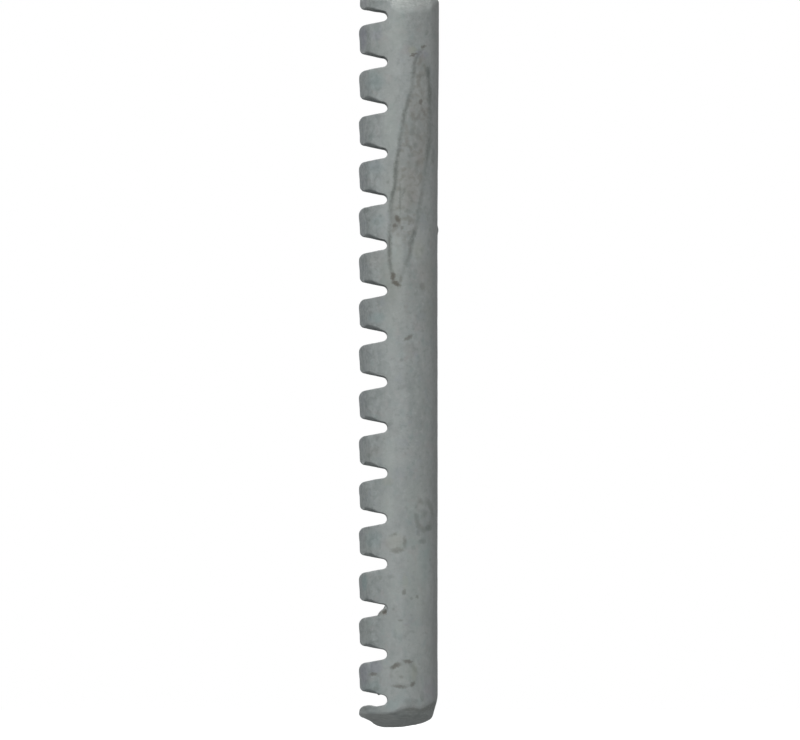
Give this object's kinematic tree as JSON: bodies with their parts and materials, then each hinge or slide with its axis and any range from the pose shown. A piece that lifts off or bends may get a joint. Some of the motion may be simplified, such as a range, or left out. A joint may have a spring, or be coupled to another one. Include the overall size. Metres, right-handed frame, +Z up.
{
  "type": "rack and pinion",
  "caption": "Round solid steel bar with rack teeth cut along one side, a flat over the tooth tips and chamfered, crowned ends.",
  "frame": {"origin": "centre of the flat disc in the middle of the lower end face, on the bar's axis", "axes": "+Z up along the bar's axis towards the upper end, -X out through the tooth tips, and the bar is symmetric about the XZ plane"},
  "size_m": [0.0173, 0.018, 0.162],
  "materials": {
    "steel": "matt grey phosphate coat on hardened steel"
  },
  "bodies": {
    "root": {"rack_bar": "steel"}
  },
  "joints": []
}
